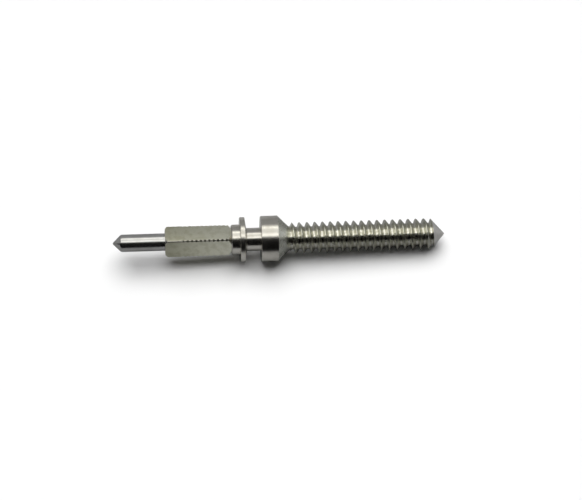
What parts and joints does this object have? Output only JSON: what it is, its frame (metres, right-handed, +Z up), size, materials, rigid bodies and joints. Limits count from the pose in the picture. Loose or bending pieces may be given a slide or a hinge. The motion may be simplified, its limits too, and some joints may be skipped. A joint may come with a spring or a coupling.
{
  "type": "watch winding stem",
  "caption": "Slim steel watch stem with a centring pilot, clutch square, pinion seat, flange, setting-lever slot, hub and a threaded shank for the crown.",
  "frame": {"origin": "on the axis of the stem, at the face of the hub that closes the slot of the setting lever", "axes": "+X along the stem from the pilot to the crown's thread, +Z up when the stem lies on a bench"},
  "size_m": [0.0096, 0.0014, 0.0014],
  "materials": {
    "hardened_steel": "hardened carbon steel: bright turned and polished journals, matte milled square and cones"
  },
  "bodies": {
    "root": {"winding_stem": "hardened_steel"}
  },
  "joints": []
}
